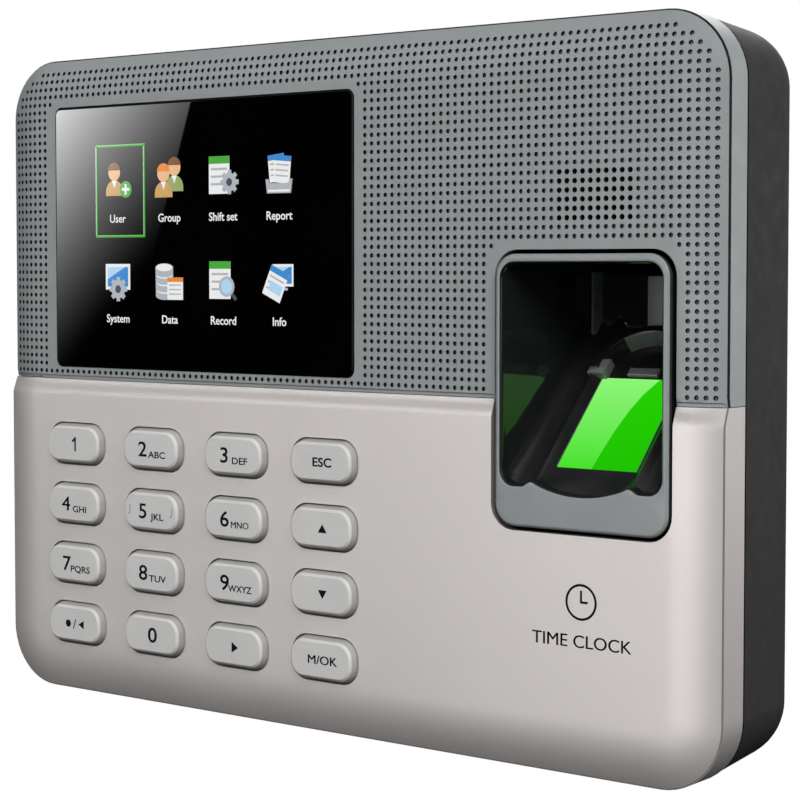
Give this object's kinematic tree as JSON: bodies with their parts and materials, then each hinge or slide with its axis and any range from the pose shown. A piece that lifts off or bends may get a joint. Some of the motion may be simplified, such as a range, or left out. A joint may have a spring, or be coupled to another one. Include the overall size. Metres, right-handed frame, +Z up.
{
  "type": "wall-mounted time clock",
  "caption": "Wall-mounted attendance terminal with a tilted fingerprint well, a display under a black lens, a telephone keypad, a speaker grille and a lift-off wall plate.",
  "frame": {"origin": "on the wall plane, behind the middle of the front", "axes": "+Z up, +X right as seen from the front, +Y into the wall; the front faces -Y"},
  "size_m": [0.178, 0.0378, 0.136],
  "materials": {
    "grey_plastic": "fine satin, warm grey",
    "silver_plastic": "silver paint on plastic, satin",
    "bezel_plastic": "satin grey face, black side walls",
    "rear_plastic": "fine spark-eroded texture",
    "inner_plastic": "satin",
    "lens_black": "polished, clear over the display",
    "key_plastic": "satin, printed legends",
    "green_glass": "polished, lit green from below",
    "display_glass": "polished",
    "zinc_steel": "zinc plated",
    "screw_steel": "plated",
    "white_tape": "foam tape",
    "flex_film": "polyimide film",
    "board_green": "solder mask",
    "chip_black": "moulded",
    "lamp_clear": "clear epoxy",
    "silicone": "soft matt",
    "foam_black": "open foam",
    "dome_brass": "gold flashed",
    "wire_white": "sleeved",
    "wire_red": "sleeved"
  },
  "bodies": {
    "wall_mount": {"wall_plate": "zinc_steel", "lock_screw": "screw_steel"},
    "terminal": {"rear_cover": "rear_plastic", "case_screws": "screw_steel", "mid_frame": "inner_plastic", "upper_front_cover": "grey_plastic", "lower_front_cover": "silver_plastic", "cover_screws": "screw_steel", "display_lens": "lens_black", "lens_tape": "white_tape", "lcd_glass": "display_glass", "lcd_tray": "zinc_steel", "lcd_ribbon": "flex_film", "reader_bezel": "bezel_plastic", "finger_well": "inner_plastic", "reader_prism": "green_glass", "prism_holder": "inner_plastic", "reader_camera": "chip_black", "reader_lamps": "lamp_clear", "reader_board": "board_green", "reader_screw_set": "screw_steel", "reader_cable": "wire_white", "keypad_mat": "silicone", "keypad_domes": "dome_brass", "keypad_board": "board_green", "keypad_ribbon": "flex_film", "main_board": "board_green", "board_chips": "chip_black", "board_screw_set": "screw_steel", "coin_cell": "screw_steel", "cell_holder": "inner_plastic", "speaker_basket": "inner_plastic", "speaker_cone": "chip_black", "speaker_magnet": "screw_steel", "speaker_gasket": "foam_black", "speaker_wires": "wire_red", "dc_jack": "inner_plastic", "usb_socket": "zinc_steel"},
    "key_1": {"key_1": "key_plastic"},
    "key_2": {"key_2": "key_plastic"},
    "key_3": {"key_3": "key_plastic"},
    "key_esc": {"key_esc": "key_plastic"},
    "key_4": {"key_4": "key_plastic"},
    "key_5": {"key_5": "key_plastic"},
    "key_6": {"key_6": "key_plastic"},
    "key_up": {"key_up": "key_plastic"},
    "key_7": {"key_7": "key_plastic"},
    "key_8": {"key_8": "key_plastic"},
    "key_9": {"key_9": "key_plastic"},
    "key_down": {"key_down": "key_plastic"},
    "key_left": {"key_left": "key_plastic"},
    "key_0": {"key_0": "key_plastic"},
    "key_right": {"key_right": "key_plastic"},
    "key_ok": {"key_ok": "key_plastic"}
  },
  "joints": [
    {"name": "terminal_lift", "type": "slide", "parent": "wall_mount", "child": "terminal", "axis": [0, 0, 1], "range_m": [0, 0.009]},
    {"name": "key_1_press", "type": "slide", "parent": "terminal", "child": "key_1", "axis": [0, 1, 0], "range_m": [0, 0.0009], "stiffness_N_per_m": 1200},
    {"name": "key_2_press", "type": "slide", "parent": "terminal", "child": "key_2", "axis": [0, 1, 0], "range_m": [0, 0.0009], "stiffness_N_per_m": 1200},
    {"name": "key_3_press", "type": "slide", "parent": "terminal", "child": "key_3", "axis": [0, 1, 0], "range_m": [0, 0.0009], "stiffness_N_per_m": 1200},
    {"name": "key_esc_press", "type": "slide", "parent": "terminal", "child": "key_esc", "axis": [0, 1, 0], "range_m": [0, 0.0009], "stiffness_N_per_m": 1200},
    {"name": "key_4_press", "type": "slide", "parent": "terminal", "child": "key_4", "axis": [0, 1, 0], "range_m": [0, 0.0009], "stiffness_N_per_m": 1200},
    {"name": "key_5_press", "type": "slide", "parent": "terminal", "child": "key_5", "axis": [0, 1, 0], "range_m": [0, 0.0009], "stiffness_N_per_m": 1200},
    {"name": "key_6_press", "type": "slide", "parent": "terminal", "child": "key_6", "axis": [0, 1, 0], "range_m": [0, 0.0009], "stiffness_N_per_m": 1200},
    {"name": "key_up_press", "type": "slide", "parent": "terminal", "child": "key_up", "axis": [0, 1, 0], "range_m": [0, 0.0009], "stiffness_N_per_m": 1200},
    {"name": "key_7_press", "type": "slide", "parent": "terminal", "child": "key_7", "axis": [0, 1, 0], "range_m": [0, 0.0009], "stiffness_N_per_m": 1200},
    {"name": "key_8_press", "type": "slide", "parent": "terminal", "child": "key_8", "axis": [0, 1, 0], "range_m": [0, 0.0009], "stiffness_N_per_m": 1200},
    {"name": "key_9_press", "type": "slide", "parent": "terminal", "child": "key_9", "axis": [0, 1, 0], "range_m": [0, 0.0009], "stiffness_N_per_m": 1200},
    {"name": "key_down_press", "type": "slide", "parent": "terminal", "child": "key_down", "axis": [0, 1, 0], "range_m": [0, 0.0009], "stiffness_N_per_m": 1200},
    {"name": "key_left_press", "type": "slide", "parent": "terminal", "child": "key_left", "axis": [0, 1, 0], "range_m": [0, 0.0009], "stiffness_N_per_m": 1200},
    {"name": "key_0_press", "type": "slide", "parent": "terminal", "child": "key_0", "axis": [0, 1, 0], "range_m": [0, 0.0009], "stiffness_N_per_m": 1200},
    {"name": "key_right_press", "type": "slide", "parent": "terminal", "child": "key_right", "axis": [0, 1, 0], "range_m": [0, 0.0009], "stiffness_N_per_m": 1200},
    {"name": "key_ok_press", "type": "slide", "parent": "terminal", "child": "key_ok", "axis": [0, 1, 0], "range_m": [0, 0.0009], "stiffness_N_per_m": 1200}
  ]
}
